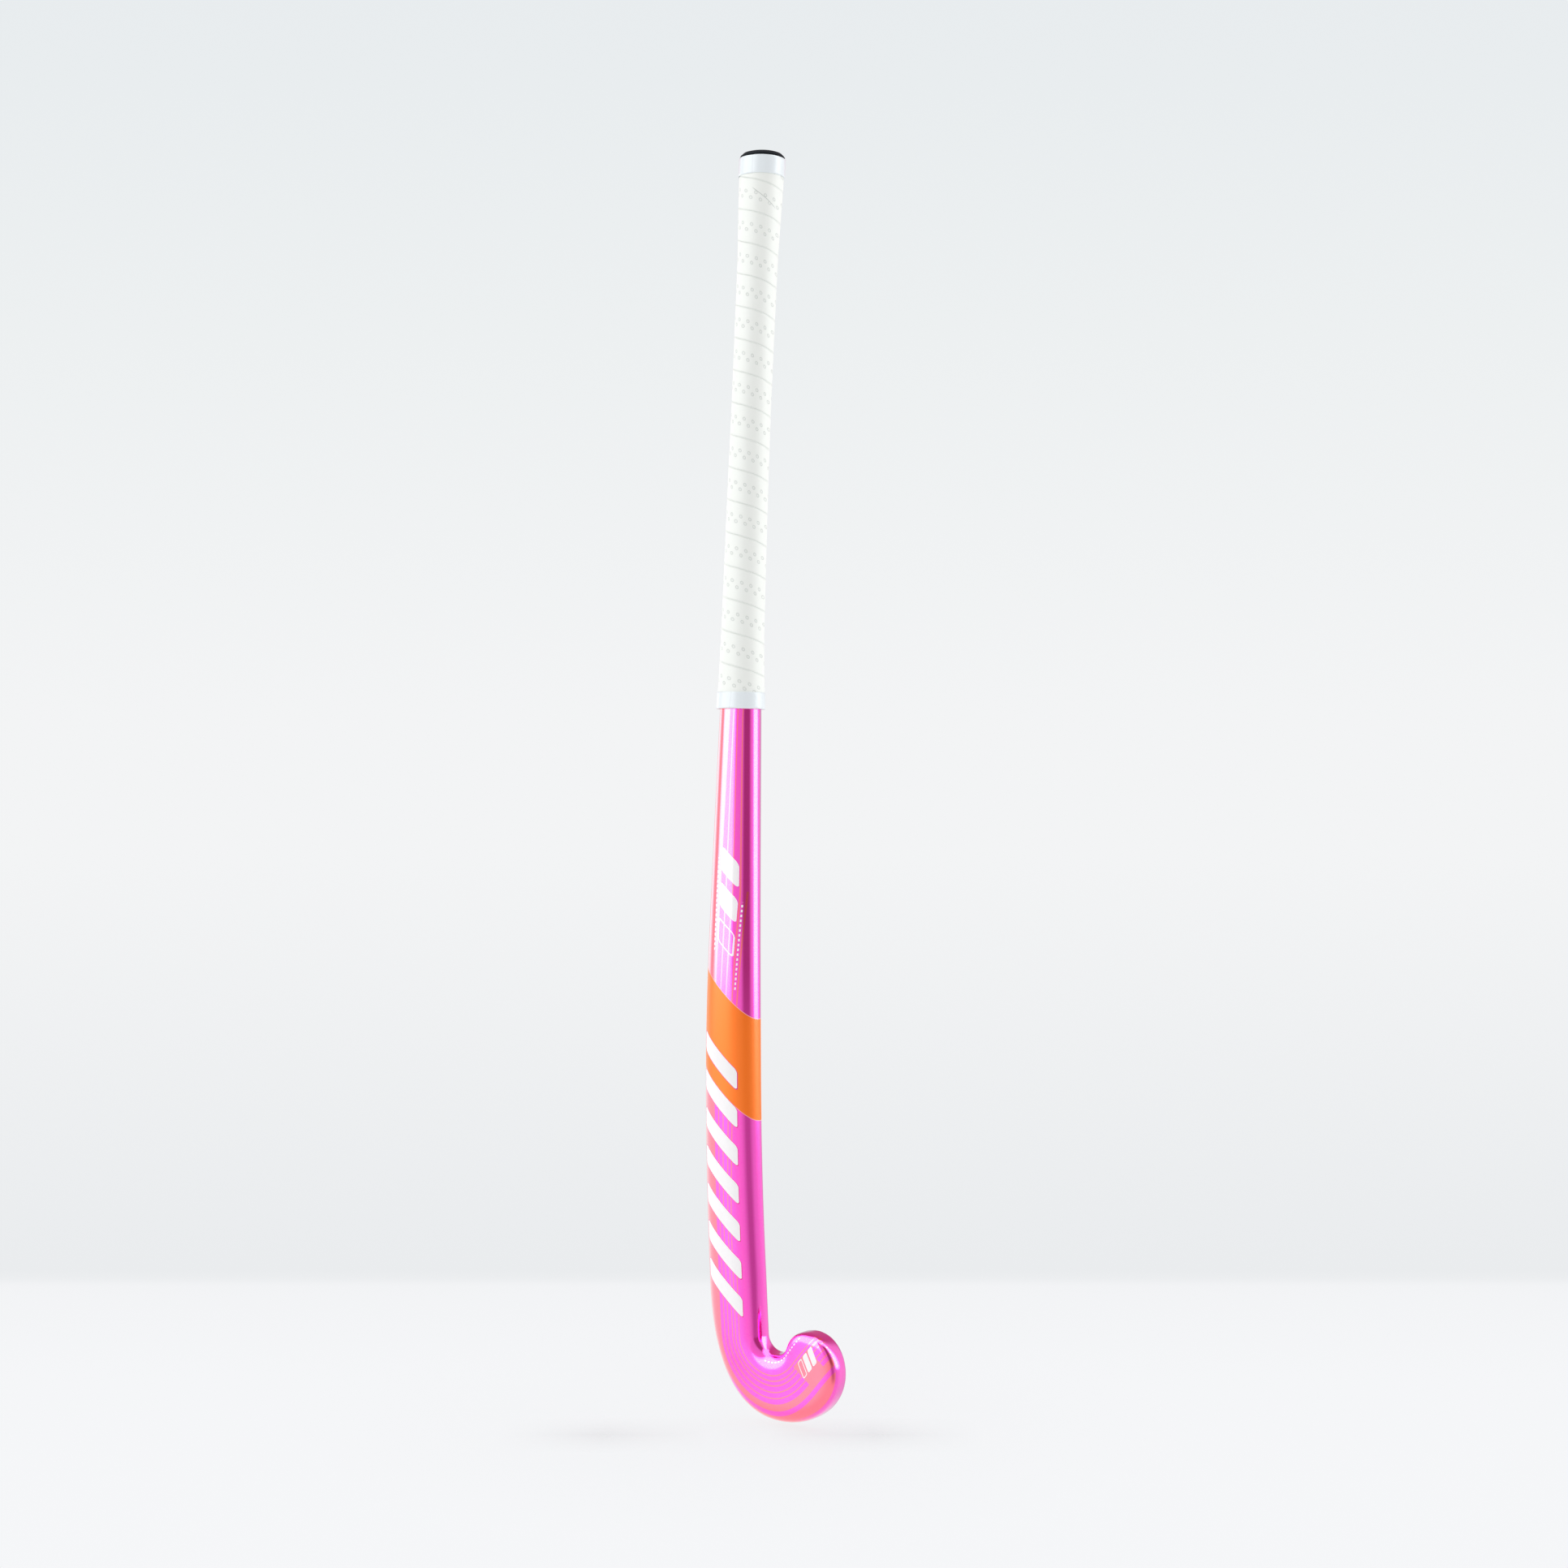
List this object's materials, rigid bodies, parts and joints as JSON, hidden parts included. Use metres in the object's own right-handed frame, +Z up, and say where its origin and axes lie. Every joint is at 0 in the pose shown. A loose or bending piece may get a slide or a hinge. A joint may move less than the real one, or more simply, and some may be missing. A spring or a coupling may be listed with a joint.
{
  "type": "field hockey stick",
  "caption": "Field hockey stick: bowed composite shaft with a J-shaped head, flat face and rounded back, wound cushion grip, film bands and a bevelled butt plug.",
  "frame": {"origin": "on the ground plane under the middle of the stick's bounding box, with the stick upright on its head", "axes": "+Z up the shaft from head to butt, +X from the shaft towards the toe, +Y out of the flat playing face, the rounded back to -Y"},
  "size_m": [0.114, 0.052, 0.9523],
  "materials": {
    "lacquered_laminate": "metallic magenta lacquer under clear gloss, with salmon pinstripes and an orange satin band",
    "core_foam": "closed-cell polyurethane foam",
    "carbon_laminate": "bare cured laminate",
    "elastomer": "soft, matte",
    "plug_plastic": "moulded, satin",
    "adhesive": "tacky film",
    "grip_cushion": "soft perforated polyurethane, satin",
    "film_tape": "smooth film, semi-gloss"
  },
  "bodies": {
    "root": {"stick_shell": "lacquered_laminate", "head_core": "core_foam", "core_stopper": "core_foam", "shaft_rib": "carbon_laminate", "handle_damper": "elastomer", "handle_foam": "core_foam", "butt_plug": "plug_plastic", "grip_adhesive": "adhesive", "grip_tape": "grip_cushion", "top_collar": "film_tape", "finish_tape": "film_tape"}
  },
  "joints": []
}
